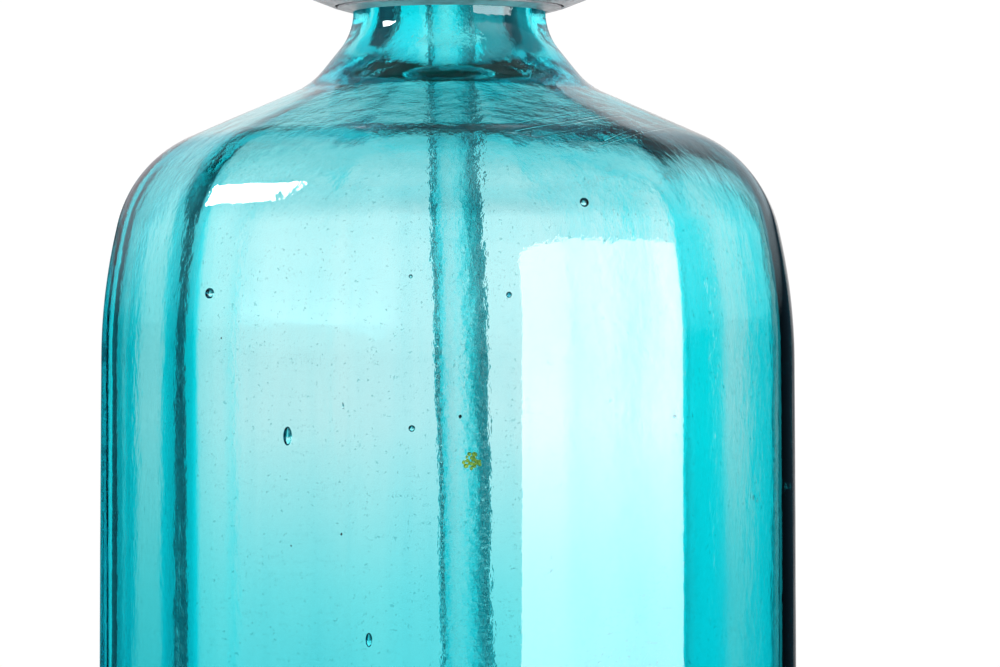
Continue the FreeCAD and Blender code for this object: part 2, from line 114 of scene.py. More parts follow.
def ramp(tree, source, stops):
    node = tree.nodes.new("ShaderNodeValToRGB")
    elements = node.color_ramp.elements
    while len(elements) < len(stops):
        elements.new(0.5)
    for element, (place, colour) in zip(elements, stops):
        element.position = place
        element.color = (*colour, 1.0)
    tree.links.new(source, node.inputs[0])
    return node.outputs[0]


def grey(value):
    return (value, value, value)


def object_coords(tree, scale=(1, 1, 1)):
    coords = tree.nodes.new("ShaderNodeTexCoord")
    mapping = tree.nodes.new("ShaderNodeMapping")
    mapping.inputs["Scale"].default_value = scale
    tree.links.new(coords.outputs["Object"], mapping.inputs["Vector"])
    return mapping.outputs[0]


def noise_value(tree, vector, scale, detail=4.0, roughness=0.55):
    node = add(tree, "ShaderNodeTexNoise", Scale=scale, Detail=detail, Roughness=roughness)
    tree.links.new(vector, node.inputs["Vector"])
    return node.outputs[0]


def bump(tree, shader, height, strength, distance):
    node = add(tree, "ShaderNodeBump", Strength=strength, Distance=distance)
    tree.links.new(height, node.inputs["Height"])
    tree.links.new(node.outputs[0], shader.inputs["Normal"])


def mix_colour(tree, factor, first, second, blend="MIX"):
    """Mixes two colours, each of them and the factor either a socket or a fixed value."""
    node = tree.nodes.new("ShaderNodeMix")
    node.data_type = "RGBA"
    node.blend_type = blend
    factor_in, first_in, second_in = (node.inputs[i] for i in MIX_INPUTS)
    for socket, value in ((factor_in, factor), (first_in, first), (second_in, second)):
        if hasattr(value, "links"):
            tree.links.new(value, socket)
        elif isinstance(value, (int, float)):
            socket.default_value = value
        else:
            socket.default_value = (*value, 1.0)
    return node.outputs[MIX_OUTPUT]


def scaled(tree, value, factor):
    node = add(tree, "ShaderNodeMath", operation="MULTIPLY")
    tree.links.new(value, node.inputs[0])
    node.inputs[1].default_value = factor
    return node.outputs[0]


def absorb(tree, output, colour, density):
    """Fills a glass piece with a tint that deepens with the length of glass light goes through."""
    volume = tree.nodes.new("ShaderNodeVolumeAbsorption")
    volume.inputs["Color"].default_value = (*colour, 1.0)
    volume.inputs["Density"].default_value = density
    tree.links.new(volume.outputs[0], output.inputs["Volume"])


def clear_as_glass(shader):
    shader.inputs["Transmission Weight"].default_value = 1.0
    shader.inputs["IOR"].default_value = 1.5
    shader.inputs["Roughness"].default_value = 0.0


# ---- glass ---------------------------------------------------------------------------------------
BOTTLE_ABSORBS = (0.10, 0.93, 0.956)
BOTTLE_DENSITY = 96.0
BOTTLE_TOP = 0.241
BOTTLE_HALF_WIDTH = 0.054
# The glass is darker low down and in a ring at the shoulder: (share of the bottle's height, tint).
HEIGHT_TINT = [
    (0.0, (0.30, 0.84, 0.88)), (0.45, (0.36, 0.88, 0.91)), (0.56, (0.58, 0.94, 0.955)),
    (0.67, (1.0, 1.0, 1.0)), (0.81, (0.97, 1.0, 1.0)), (0.835, (0.74, 0.91, 0.92)),
    (0.857, (0.62, 0.79, 0.80)), (0.875, (0.66, 0.95, 0.97)), (0.92, (0.70, 1.0, 1.0)),
    (1.0, (0.72, 1.0, 1.0)),
]
# Painted shade on its flanks, towards +x and -x, darkening the glass towards its silhouettes:
# (share of the bottle's half width, tint).
FLANK_PAINTED_SHADE = [
    (0.64, grey(1.0)), (0.76, (0.76, 0.985, 0.99)), (0.88, (0.74, 0.97, 0.975)),
    (0.95, (0.68, 0.90, 0.91)),
]
STREAK_TINT = [(0.34, (0.74, 0.93, 0.95)), (0.52, grey(1.0))]
HAZE_TINT = [(0.36, (0.84, 0.95, 0.97)), (0.52, grey(1.0))]
SPECK_TINT = [(0.27, (0.45, 0.62, 0.64)), (0.33, grey(1.0))]
# How much of the coarse ripple the surface has over the fine one, by height.
RIPPLE_SHARE = [(0.0, grey(0.10)), (0.70, grey(0.14)), (0.84, grey(0.6)), (1.0, grey(1.0))]
FINE_RIPPLE = 0.12
BOTTLE_BUMP_STRENGTH, BOTTLE_BUMP_DEPTH = 0.6, 0.00016
# Scratches on the shoulder: (x, z) of both ends, in mm. They reach through to the far side too.
SCRATCHES = [
    ((12.5, 202.1), (24.2, 205.2)), ((18.8, 203.2), (27.0, 205.5)), ((24.8, 200.1), (35.3, 204.7)),
]
SCRATCH_WIDTH = 0.00009
SCRATCH_DEPTH = 0.25


def bottle_glass_material():
    material, tree, shader, output = new_material("turquoise_glass")
    clear_as_glass(shader)
    absorb(tree, output, BOTTLE_ABSORBS, BOTTLE_DENSITY)
    coords = tree.nodes.new("ShaderNodeTexCoord")
    split = tree.nodes.new("ShaderNodeSeparateXYZ")
    tree.links.new(coords.outputs["Object"], split.inputs[0])
    height = add(tree, "ShaderNodeMapRange")
    height.inputs["From Max"].default_value = BOTTLE_TOP
    tree.links.new(split.outputs[2], height.inputs[0])
    tint = ramp(tree, height.outputs[0], HEIGHT_TINT)
    # Painted shade: the base colour darkens towards both flanks, by the distance from the middle in
    # x.
    aside = add(tree, "ShaderNodeMath", operation="ABSOLUTE")
    tree.links.new(split.outputs[0], aside.inputs[0])
    shaded_flank = add(tree, "ShaderNodeMapRange")
    shaded_flank.inputs["From Max"].default_value = BOTTLE_HALF_WIDTH
    tree.links.new(aside.outputs[0], shaded_flank.inputs[0])
    tint = mix_colour(tree, 1.0, tint, ramp(tree, shaded_flank.outputs[0], FLANK_PAINTED_SHADE), "MULTIPLY")
    streaks = noise_value(tree, object_coords(tree, (1, 1, 0.06)), 110.0, 5.0, 0.6)
    haze = noise_value(tree, object_coords(tree, (1, 1, 0.5)), 55.0, 6.0, 0.65)
    dust = noise_value(tree, object_coords(tree), 1500.0, 2.0)
    uneven = mix_colour(tree, 0.5, ramp(tree, streaks, STREAK_TINT), ramp(tree, haze, HAZE_TINT))
    uneven = mix_colour(tree, 1.0, uneven, ramp(tree, dust, SPECK_TINT), "MULTIPLY")
    tint = mix_colour(tree, 1.0, tint, uneven, "MULTIPLY")
    tree.links.new(tint, shader.inputs["Base Color"])
    fine = noise_value(tree, object_coords(tree, (1, 1, 0.4)), 900.0, 3.0)
    ripple = noise_value(tree, object_coords(tree, (1, 1, 0.6)), 330.0, 4.0, 0.6)
    rippled = ramp(tree, height.outputs[0], RIPPLE_SHARE)
    surface = mix_colour(tree, rippled, scaled(tree, fine, FINE_RIPPLE), ripple)
    for start, end in SCRATCHES:
        surface = mix_colour(tree, 1.0, surface, scratch_depth(tree, start, end), "SUBTRACT")
    bump(tree, shader, surface, BOTTLE_BUMP_STRENGTH, BOTTLE_BUMP_DEPTH)
    return material


def scratch_depth(tree, start, end):
    """SCRATCH_DEPTH along a line in the view from the front, and 0 away from it."""
    first = Vector((start[0], 0, start[1])) * MM
    along = Vector((end[0], 0, end[1])) * MM - first
    place = object_coords(tree, (1, 0, 1))
    offset = add(tree, "ShaderNodeVectorMath", operation="SUBTRACT")
    tree.links.new(place, offset.inputs[0])
    offset.inputs[1].default_value = first
    share = add(tree, "ShaderNodeVectorMath", operation="DOT_PRODUCT")
    tree.links.new(offset.outputs[0], share.inputs[0])
    share.inputs[1].default_value = along / along.length_squared
    clamped = add(tree, "ShaderNodeClamp")
    tree.links.new(share.outputs["Value"], clamped.inputs[0])
    nearest = add(tree, "ShaderNodeVectorMath", operation="SCALE")
    nearest.inputs[0].default_value = along
    tree.links.new(clamped.outputs[0], nearest.inputs["Scale"])
    away = add(tree, "ShaderNodeVectorMath", operation="DISTANCE")
    tree.links.new(offset.outputs[0], away.inputs[0])
    tree.links.new(nearest.outputs[0], away.inputs[1])
    depth = add(tree, "ShaderNodeMapRange")
    depth.inputs["From Min"].default_value = SCRATCH_WIDTH
    depth.inputs["From Max"].default_value = 0.0
    depth.inputs["To Max"].default_value = SCRATCH_DEPTH
    tree.links.new(away.outputs["Value"], depth.inputs[0])
    return depth.outputs[0]


CLEAR_COLOUR = (0.97, 1.0, 1.0, 1.0)
WOBBLE_STRENGTH = 0.7


def clear_glass_material(name, density, absorbs, wobble_scale=500.0, wobble_depth=0.00008):
    """Thin tinted glass with a wobbly surface."""
    material, tree, shader, output = new_material(name)
    clear_as_glass(shader)
    shader.inputs["Base Color"].default_value = CLEAR_COLOUR
    absorb(tree, output, absorbs, density)
    wobble = noise_value(tree, object_coords(tree, (1, 1, 0.6)), wobble_scale, 4.0, 0.6)
    bump(tree, shader, wobble, WOBBLE_STRENGTH, wobble_depth)
    return material


# ---- bottle mesh ---------------------------------------------------------------------------------
PANELS = 12
CORNER_SHARPNESS = 45.9     # of the panels' corners: the higher, the sharper
INNER_SHARPNESS = 75.5
COLUMNS_PER_PANEL = 26
CORNER_CROWDING = 0.13      # how much closer together the columns are at the corners
OUTER_STEP, INNER_STEP = 1.0, 1.2       # between the rings, in mm
NO_GAP = 1e-5               # points nearer than this are the same


def sampled_profile(corners, step):
    """Points along a line of (r, z) or (r, z, radius) corners, each radius a tangent arc."""
    points = []
    count = len(corners)
    for i, corner in enumerate(corners):
        here = Vector((corner[0], corner[1]))
        radius = corner[2] if len(corner) > 2 else 0.0
        if radius and 0 < i < count - 1:
            before = Vector(corners[i - 1][:2])
            after = Vector(corners[i + 1][:2])
            arriving = (here - before).normalized()
            leaving = (after - here).normalized()
            half = arriving.angle(leaving) / 2
            setback = radius * math.tan(half)
            start = here - arriving * setback
            side = 1 if arriving.x * leaving.y - arriving.y * leaving.x > 0 else -1
            normal = Vector((-arriving.y, arriving.x)) * side
            centre = start + normal * radius
            pieces = max(2, int(math.ceil(2 * half * radius / step)))
            for k in range(pieces + 1):
                turn = side * 2 * half * k / pieces
                spoke = start - centre
                rotated = Vector((
                    spoke.x * math.cos(turn) - spoke.y * math.sin(turn),
                    spoke.x * math.sin(turn) + spoke.y * math.cos(turn),
                ))
                points.append(centre + rotated)
        else:
            points.append(here)
    filled = [points[0]]
    for point in points[1:]:
        gap = (point - filled[-1]).length
        if gap < NO_GAP:
            continue
        pieces = max(1, int(math.ceil(gap / step)))
        start = filled[-1]
        for k in range(1, pieces + 1):
            filled.append(start.lerp(point, k / pieces))
    return filled


OUTER_CORNERS = [      # radii at the middle of a panel
    (0.0, 5.0), (16.0, 4.3), (30.0, 2.0), (39.0, 0.05, 2), (43.5, 0.0, 3), (52.2, 0.6, 7.5),
    (51.6, 179.6, 88), (47.3, 199.6, 19), (20.9, 211.6, 12), (14.45, 219.6, 9), (14.4, 229.8),
    (16.85, 232.3, 1.2), (16.85, 241.0, 1.4), (9.6, 241.0, 1.4), (9.6, 238.0),
]
INNER_CORNERS = [
    (9.6, 238.0), (8.3, 236.5), (8.3, 214.1, 13), (45.3, 197.8, 17), (48.86, 178.5, 95),
    (48.06, 9.0, 12), (0.0, 12.0),
]
INNER_PANELLING = 0.829     # how much the inside follows the panels
CAVITY_SHIFT = (0.917, -0.741)      # the cavity is a little off the axis, so one wall is thicker
CAVITY_OVALS = [       # (lobes, reach in mm, turn) of its uneven roundness
    (2, -0.231, 0.931), (3, -0.030, 0.988), (4, -0.007, 0.682), (5, -0.019, 0.565),
]


def panel_factor(angle, sharpness):
    """The panelled outline's distance at an angle, over its distance at a panel's middle."""
    total = 0.0
    for k in range(PANELS):
        lean = math.cos(angle - 2 * math.pi * k / PANELS)
        if lean > 0.2:      # the panels further round add nothing
            total += lean ** sharpness
    return total ** (-1 / sharpness)


def unevenness(angle):
    """How far the cavity's wall is from round at an angle, in mm."""
    return sum(reach * math.cos(lobes * (angle - turn)) for lobes, reach, turn in CAVITY_OVALS)


def column_angles():
    """Angles round the bottle, closer together at the panel corners."""
    angles = []
    for panel in range(PANELS):
        for i in range(COLUMNS_PER_PANEL):
            angles.append((panel + 0.5 + eased_at(i / COLUMNS_PER_PANEL)) * 2 * math.pi / PANELS)
    return angles


def eased_at(t):
    """0 to 1 across a panel from corner to corner, slow near both corners."""
    return t - CORNER_CROWDING * math.sin(2 * math.pi * t)


def smooth_step(low, high, value):
    t = min(1.0, max(0.0, (value - low) / (high - low)))
    return t * t * (3 - 2 * t)


def outer_wave(x, y, z):
    """Uneven flow of the moulded outside, in mm."""
    broad = noise.noise(Vector((x * 0.03, y * 0.03, z * 0.018)) + Vector((3.1, 0, 0)))
    fine = noise.noise(Vector((x * 0.16, y * 0.16, z * 0.11)) + Vector((0, 7.7, 0)))
    return 0.10 * broad + 0.012 * fine


def inner_wave(x, y, z):
    """The blown inside is wavier than the outside, mostly in upright streaks, in mm."""
    broad = noise.noise(Vector((x * 0.045, y * 0.045, z * 0.012)) + Vector((0, 0, 5.3)))
    streak = noise.noise(Vector((x * 0.16, y * 0.16, z * 0.02)) + Vector((9.2, 0, 0)))
    fine = noise.noise(Vector((x * 0.35, y * 0.35, z * 0.22)))
    return 0.10 * broad + 0.03 * streak + 0.006 * fine


# Where the panels and the waves fade in and out, as (from, to) in mm.
HALF_WAY = 100.0                    # a height between the foot and the shoulder
PANELS_END = (205.0, 214.5)         # heights
WAVES_END = (214.0, 226.0)          # heights
OUTER_PANELS_BEGIN = (36.0, 50.0)   # radii under the foot
INNER_PANELS_BEGIN = (30.0, 46.0)   # radii on the cavity's floor
STANDING = (30.0, 50.0)             # radii under the foot, which is flat where it stands
NECK_WAVED = 30.0                   # added to the radius higher up, so that the neck has waves
CAVITY_MIDDLE, CAVITY_WALL = 20.0, 45.0     # radii between which the cavity goes out of round
LEAST_WAVED = 0.25                  # of the inner waves, in the neck and at the axis
ON_AXIS = 1e-6                      # a ring smaller than this is a single point


def panelled(r, z, inside):
    """How far a ring follows the panels: all the way on the walls, not at the neck or axis."""
    if z > HALF_WAY:
        return 1.0 - smooth_step(*PANELS_END, z)
    return smooth_step(*(INNER_PANELS_BEGIN if inside else OUTER_PANELS_BEGIN), r)


def inner_ring(r, z, angles, factors):
    follow = panelled(r, z, True) * INNER_PANELLING
    away = (1 - smooth_step(*WAVES_END, z)) * smooth_step(0, CAVITY_MIDDLE, r)
    wide = away * smooth_step(CAVITY_MIDDLE, CAVITY_WALL, r)
    shift_x, shift_y = (s * wide for s in CAVITY_SHIFT)
    ring = []
    for angle, factor in zip(angles, factors):
        reach = r * (1 + follow * (factor - 1))
        x, y = reach * math.cos(angle), reach * math.sin(angle)
        waved = LEAST_WAVED + (1 - LEAST_WAVED) * away
        reach += inner_wave(x, y, z) * waved + unevenness(angle) * wide
        ring.append((reach * math.cos(angle) + shift_x, reach * math.sin(angle) + shift_y, z))
    return ring


def outer_ring(r, z, angles, factors):
    follow = panelled(r, z, False)
    away = 1 - smooth_step(*WAVES_END, z)
    waved = smooth_step(*STANDING, r if z < HALF_WAY else r + NECK_WAVED)
    ring = []
    for angle, factor in zip(angles, factors):
        reach = r * (1 + follow * (factor - 1))
        x, y = reach * math.cos(angle), reach * math.sin(angle)
        reach -= abs(outer_wave(x, y, z)) * away * waved
        ring.append((reach * math.cos(angle), reach * math.sin(angle), z))
    return ring


def bottle_rings(angles):
    """Rings from the middle of the foot up the outside, over the lip and down the inside."""
    rings = []
    factors = [panel_factor(a, CORNER_SHARPNESS) for a in angles]
    for r, z in sampled_profile(OUTER_CORNERS, OUTER_STEP):
        rings.append(outer_ring(r, z, angles, factors) if r > ON_AXIS else [(0.0, 0.0, z)])
    factors = [panel_factor(a, INNER_SHARPNESS) for a in angles]
    for r, z in sampled_profile(INNER_CORNERS, INNER_STEP)[1:]:
        rings.append(inner_ring(r, z, angles, factors) if r > ON_AXIS else [(0.0, 0.0, z)])
    return rings


def smooth_outwards(mesh):
    """Turns a mesh's faces outwards and shades them smooth."""
    work = bmesh.new()
    work.from_mesh(mesh)
    bmesh.ops.recalc_face_normals(work, faces=work.faces)
    for face in work.faces:
        face.smooth = True
    work.to_mesh(mesh)
    work.free()


def surface_from_rings(name, rings):
    """A closed mesh from rings of the same length, with single points where it closes."""
    vertices = []
    starts = []
    for ring in rings:
        starts.append(len(vertices))
        vertices.extend(Vector(v) * MM for v in ring)
    faces = []
    for (a_start, a), (b_start, b) in zip(zip(starts, rings), zip(starts[1:], rings[1:])):
        count = max(len(a), len(b))
        for i in range(count):
            j = (i + 1) % count
            if len(a) == 1:
                faces.append((a_start, b_start + j, b_start + i))
            elif len(b) == 1:
                faces.append((a_start + i, a_start + j, b_start))
            else:
                faces.append((a_start + i, a_start + j, b_start + j, b_start + i))
    mesh = bpy.data.meshes.new(name)
    mesh.from_pydata(vertices, [], faces)
    smooth_outwards(mesh)
    return mesh


# Seeds, which are small bubbles in the glass: degrees round the bottle, radius, height, half width
# and half height in mm.
BUBBLES = [
    (-129.7, 50.3, 178.4, 0.80, 0.80), (-113.5, 50.2, 157.2, 0.72, 1.40),
    (-62.1, 48.3, 191.3, 0.72, 0.72), (-92.4, 50.2, 180.2, 0.30, 0.30),
    (-92.2, 50.1, 158.1, 0.50, 0.50), (-76.2, 50.6, 177.5, 0.42, 0.46),
    (-99.3, 50.4, 127.4, 0.50, 1.05), (-46.0, 50.7, 160.3, 0.30, 0.30),
    (-42.8, 40.0, 202.4, 0.32, 0.32), (-41.2, 40.1, 202.3, 0.26, 0.26),
    (-104.0, 50.2, 88.0, 0.5, 1.2), (-60.0, 50.0, 70.0, 0.5, 0.9), (-20.0, 50.0, 120.0, 0.6, 1.2),
    (25.0, 50.0, 150.0, 0.5, 0.6), (70.0, 50.0, 100.0, 0.6, 1.5), (120.0, 50.0, 165.0, 0.5, 0.5),
    (160.0, 50.0, 60.0, 0.6, 1.1), (-160.0, 50.0, 110.0, 0.5, 0.8),
]


def blob(work, centre, out, across, upright):
    """Adds a small ellipsoid, flattened along the way out."""
    size = Matrix.Diagonal((across * 0.8 * MM, across * MM, upright * MM, 1.0))
    turn = out.to_track_quat("X", "Z").to_matrix().to_4x4()
    place = Matrix.Translation(centre * MM) @ turn @ size
    made = bmesh.ops.create_icosphere(work, subdivisions=3, radius=1.0, matrix=place)
    faces = {face for vertex in made["verts"] for face in vertex.link_faces}
    for face in faces:
        face.smooth = True
    return faces


def on_wall(degrees, radius, height):
    """A place in the bottle's wall and the way out of it."""
    out = Vector((math.cos(math.radians(degrees)), math.sin(math.radians(degrees)), 0))
    return out * radius + Vector((0, 0, height)), out


def add_bubbles(mesh):
    """Hollows in the glass: closed shells that face inwards."""
    work = bmesh.new()
    work.from_mesh(mesh)
    for degrees, radius, height, across, upright in BUBBLES:
        centre, out = on_wall(degrees, radius, height)
        faces = blob(work, centre, out, across, upright)
        bmesh.ops.reverse_faces(work, faces=list(faces))
    work.to_mesh(mesh)
    work.free()


def make_bottle():
    mesh = surface_from_rings("bottle_glass", bottle_rings(column_angles()))
    add_bubbles(mesh)
    mesh.materials.append(bottle_glass_material())
    obj = placed("bottle_glass", mesh)
    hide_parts("glass_bottle")
    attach(obj, "siphon")


# Grains caught in the glass: degrees, radius, height, half width and half height in mm.
DARK_GRAINS = [
    (-84.2, 50.9, 159.8, 0.22, 0.30), (-103.7, 51.2, 142.8, 0.15, 0.20),
    (-112.6, 50.8, 141.2, 0.13, 0.16), (-126.8, 50.6, 171.8, 0.13, 0.16),
    (-70.0, 50.9, 90.0, 0.14, 0.18), (35.0, 50.9, 130.0, 0.15, 0.20),
    (100.0, 50.9, 110.0, 0.18, 0.22), (-170.0, 50.9, 150.0, 0.14, 0.18),
]
# A small patch of moss-coloured grains: the middle of it, and how far they lie from there at most.
MOSS_DEGREES, MOSS_RADIUS, MOSS_HEIGHT = -82.35, 51.2, 153.3
MOSS_DEGREES_REACH, MOSS_HEIGHT_REACH = 1.495, 1.105
MOSS_ACROSS, MOSS_UPRIGHT = (0.207, 0.414), (0.184, 0.345)      # least and most, in mm
MOSS_COUNT = 20
MOSS_SEED = 5
GRAIN_ROUGH_SCALE, GRAIN_ROUGH_DEPTH = 4000, 0.00007
GRAIN_ROUGH_SEED = 1
GRAIN_ROUGHNESS = 0.8


def moss_grains():
    """Grains scattered over an oval patch, in the same form as DARK_GRAINS."""
    draw = random.Random(MOSS_SEED)
    grains = []
    for _ in range(MOSS_COUNT):
        turn = draw.uniform(0, 2 * math.pi)
        out = math.sqrt(draw.uniform(0, 1))
        degrees = MOSS_DEGREES + MOSS_DEGREES_REACH * out * math.cos(turn)
        height = MOSS_HEIGHT + MOSS_HEIGHT_REACH * out * math.sin(turn)
        across, upright = draw.uniform(*MOSS_ACROSS), draw.uniform(*MOSS_UPRIGHT)
        grains.append((degrees, MOSS_RADIUS, height, across, upright))
    return grains


def make_grains(name, grains, colour, dark):
    work = bmesh.new()
    for degrees, radius, height, across, upright in grains:
        centre, out = on_wall(degrees, radius, height)
        blob(work, centre, out, across, upright)
    noise.seed_set(GRAIN_ROUGH_SEED)        # noise_vector differs from run to run without this
    for vertex in work.verts:
        vertex.co += noise.noise_vector(vertex.co * GRAIN_ROUGH_SCALE) * GRAIN_ROUGH_DEPTH
    mesh = bpy.data.meshes.new(name)
    work.to_mesh(mesh)
    work.free()
    mesh.materials.append(matte_material(name + "_stone", colour, dark, GRAIN_ROUGHNESS))
    obj = placed(name, mesh)
    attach(obj, "siphon")


# ---- dip tube ------------------------------------------------------------------------------------
TUBE_R, TUBE_BORE_R = 3.65, 2.95
TUBE_TOP_Z, TUBE_BEND_Z, TUBE_FOOT_Z = 248.5, 226.0, 16.0
TUBE_LEAN = math.radians(1.2)
TUBE_SIDES = 64
TUBE_WAVE, BORE_WAVE = 0.04, 0.06       # how far the tube's two walls wander inwards, in mm
TUBE_ABSORBS, TUBE_DENSITY = (0.15, 0.88, 0.91), 150.0
TUBE_WOBBLE_SCALE, TUBE_WOBBLE_DEPTH = 1300.0, 0.00009


def tube_centre(z):
    """The tube's middle at a height: upright in its sleeve, then leaning and not quite true."""
    below = max(0.0, TUBE_BEND_Z - z)
    easing = smooth_step(0.0, 8.0, below)
    drift = 0.10 * math.sin(z * 0.09) + 0.06 * math.sin(z * 0.21 + 1.0)
    depth = 0.08 * math.sin(z * 0.07 + 2)
    return Vector((below * math.tan(TUBE_LEAN) + easing * drift, easing * depth, z))


def tube_ring(z, bore):
    centre = tube_centre(z)
    ring = []
    for k in range(TUBE_SIDES):
        angle = 2 * math.pi * k / TUBE_SIDES
        way = Vector((math.cos(angle), math.sin(angle), 0))
        wave = noise.noise(Vector((way.x * 0.9, way.y * 0.9, z * 0.05)))
        radius = TUBE_BORE_R - BORE_WAVE * abs(wave) if bore else TUBE_R - TUBE_WAVE * abs(wave)
        ring.append(centre + way * radius)
    return ring


def make_tube():
    heights = [TUBE_TOP_Z - i for i in range(int(TUBE_TOP_Z - TUBE_FOOT_Z) + 1)]
    rings = [tube_ring(z, False) for z in heights] + [tube_ring(z, True) for z in heights[::-1]]
    faces = []
    for row in range(len(rings)):
        near, far = row * TUBE_SIDES, (row + 1) % len(rings) * TUBE_SIDES
        for k in range(TUBE_SIDES):
            j = (k + 1) % TUBE_SIDES
            faces.append((near + k, near + j, far + j, far + k))
    mesh = bpy.data.meshes.new("dip_tube_glass")
    mesh.from_pydata([point * MM for ring in rings for point in ring], [], faces)
    smooth_outwards(mesh)
    mesh.materials.append(clear_glass_material(
        "tube_glass", TUBE_DENSITY, TUBE_ABSORBS, TUBE_WOBBLE_SCALE, TUBE_WOBBLE_DEPTH))
    obj = placed("dip_tube_glass", mesh)
    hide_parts("dip_tube")
    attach(obj, "siphon")


# ---- metal ---------------------------------------------------------------------------------------
METALLIC = 0.75
METAL_BUMP_STRENGTH, METAL_BUMP_DEPTH = 0.3, 0.00005
SPOT_TINT = [(0.30, grey(0.45)), (0.42, grey(1.0))]
WEAR_TINT = [(0.38, grey(0.72)), (0.60, grey(1.08))]


def metal_material(name, colour, dark, roughness):
    """Old metal, clouded, spotted and worn in streaks round it."""
    material, tree, shader, _ = new_material(name)
    vector = object_coords(tree)
    cloud = noise_value(tree, vector, 60.0, 6.0)
    grain = noise_value(tree, vector, 900.0, 4.0)
    spots = noise_value(tree, vector, 420.0, 3.0, 0.7)
    wear = noise_value(tree, object_coords(tree, (1, 1, 12)), 130.0, 4.0, 0.6)
    tint = ramp(tree, cloud, [(0.35, dark), (0.62, colour)])
    tint = mix_colour(tree, 1.0, tint, ramp(tree, spots, SPOT_TINT), "MULTIPLY")
    tint = mix_colour(tree, 0.6, tint, ramp(tree, wear, WEAR_TINT), "MULTIPLY")
    tree.links.new(tint, shader.inputs["Base Color"])
    rough = ramp(tree, grain, [(0.3, grey(roughness - 0.08)), (0.7, grey(roughness + 0.1))])
    tree.links.new(rough, shader.inputs["Roughness"])
    shader.inputs["Metallic"].default_value = METALLIC
    bump(tree, shader, grain, METAL_BUMP_STRENGTH, METAL_BUMP_DEPTH)
    return material


def matte_material(name, colour, dark, roughness):
    """Rubber, leather or stone, in a cloudy mix of two colours."""
    material, tree, shader, _ = new_material(name)
    cloud = noise_value(tree, object_coords(tree), 300.0, 5.0)
    tint = ramp(tree, cloud, [(0.35, dark), (0.65, colour)])
    tree.links.new(tint, shader.inputs["Base Color"])
    shader.inputs["Roughness"].default_value = roughness
    bump(tree, shader, cloud, 0.4, 0.0001)
    return material


# ---- return spring -------------------------------------------------------------------------------
SPRING_R, WIRE_R, SPRING_TURNS = 4.9, 0.6, 6.5
SPRING_STEPS, WIRE_SIDES = 300, 16


def wire_ring(i, foot, top):
    """The points round the wire at the spring's i-th step up."""
    turn = 2 * math.pi * SPRING_TURNS * i / SPRING_STEPS
    height = foot + (top - foot) * i / SPRING_STEPS
    centre = Vector((SPRING_R * math.cos(turn), SPRING_R * math.sin(turn), height))
    out = Vector((math.cos(turn), math.sin(turn), 0))
    ring = []
    for k in range(WIRE_SIDES):
        angle = 2 * math.pi * k / WIRE_SIDES
        way = out * math.cos(angle) + Vector((0, 0, math.sin(angle)))
        ring.append((centre + WIRE_R * way) * MM)
    return ring


def make_spring(brass):
    """The return spring, as one fixed coil between the CAD spring's ends; the real one shortens as
    the plunger rises.
    """
    low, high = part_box("return_spring")
    foot, top = low[2] / MM + WIRE_R, high[2] / MM - WIRE_R
    work = bmesh.new()
    rings = []
    for i in range(SPRING_STEPS + 1):
        rings.append([work.verts.new(point) for point in wire_ring(i, foot, top)])
    for near, far in zip(rings, rings[1:]):
        for k in range(WIRE_SIDES):
            j = (k + 1) % WIRE_SIDES
            work.faces.new((near[k], near[j], far[j], far[k]))
    work.faces.new(rings[0])
    work.faces.new(rings[-1])
    bmesh.ops.recalc_face_normals(work, faces=work.faces)
    for face in work.faces:
        face.smooth = len(face.verts) == 4
    mesh = bpy.data.meshes.new("valve_spring")
    work.to_mesh(mesh)
    work.free()
    mesh.materials.append(brass)
    obj = placed("valve_spring", mesh)
    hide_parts("return_spring")
    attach(obj, "siphon")
    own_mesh(obj)


# ---- looks of the CAD nodes ----------------------------------------------------------------------
def paint_nodes():
    """Gives the CAD nodes that stay their materials, and makes the spring in the same brass."""
    pewter = metal_material("pewter", (0.33, 0.325, 0.35), (0.15, 0.148, 0.165), 0.36)
    bright = metal_material("turned_tin", (0.46, 0.45, 0.45), (0.28, 0.27, 0.27), 0.32)
    brass = metal_material("worn_brass", (0.50, 0.36, 0.16), (0.26, 0.18, 0.08), 0.36)
    steel = metal_material("pin_steel", (0.34, 0.33, 0.33), (0.20, 0.19, 0.19), 0.33)
    red = matte_material("red_rubber", (0.34, 0.10, 0.07), (0.22, 0.06, 0.05), 0.75)
    black = matte_material("black_rubber", (0.05, 0.05, 0.055), (0.03, 0.03, 0.03), 0.7)
    hide = matte_material("leather", (0.24, 0.14, 0.08), (0.14, 0.08, 0.05), 0.65)
    clear = clear_glass_material("liner_glass", 60.0, (0.5, 0.97, 0.99))
    looks = {
        "head_casting": pewter, "collar_nut": pewter, "cap_nut": pewter, "spout_nozzle": pewter,
        "lever": pewter, "split_ring_front": pewter, "split_ring_back": pewter,
        "tube_holder": bright, "plunger": brass, "gland_ring": brass, "lever_pin": steel,
        "tube_sleeve": red, "neck_gasket": red, "holder_gasket": black, "nozzle_washer": black,
        "valve_disc": black, "packing_washer": hide, "cap_gasket": hide, "spout_liner": clear,
    }
    for node, material in looks.items():
        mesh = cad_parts[node].data
        mesh.materials.clear()
        mesh.materials.append(material)
    make_spring(brass)


# ---- stage ---------------------------------------------------------------------------------------
FLOOR_RADIUS = 6.0
FLOOR_COLOUR = (0.80, 0.80, 0.80, 1)
FLOOR_ROUGHNESS = 0.6
LIGHT_AIM = Vector((0, 0, 0.17))        # the bottle's middle


def make_floor():
    work = bmesh.new()
    bmesh.ops.create_circle(work, cap_ends=True, segments=96, radius=FLOOR_RADIUS)
    mesh = bpy.data.meshes.new("floor")
    work.to_mesh(mesh)
    work.free()
    material, _, shader, _ = new_material("floor_card")
    shader.inputs["Base Color"].default_value = FLOOR_COLOUR
    shader.inputs["Roughness"].default_value = FLOOR_ROUGHNESS
    mesh.materials.append(material)
    placed("floor", mesh)


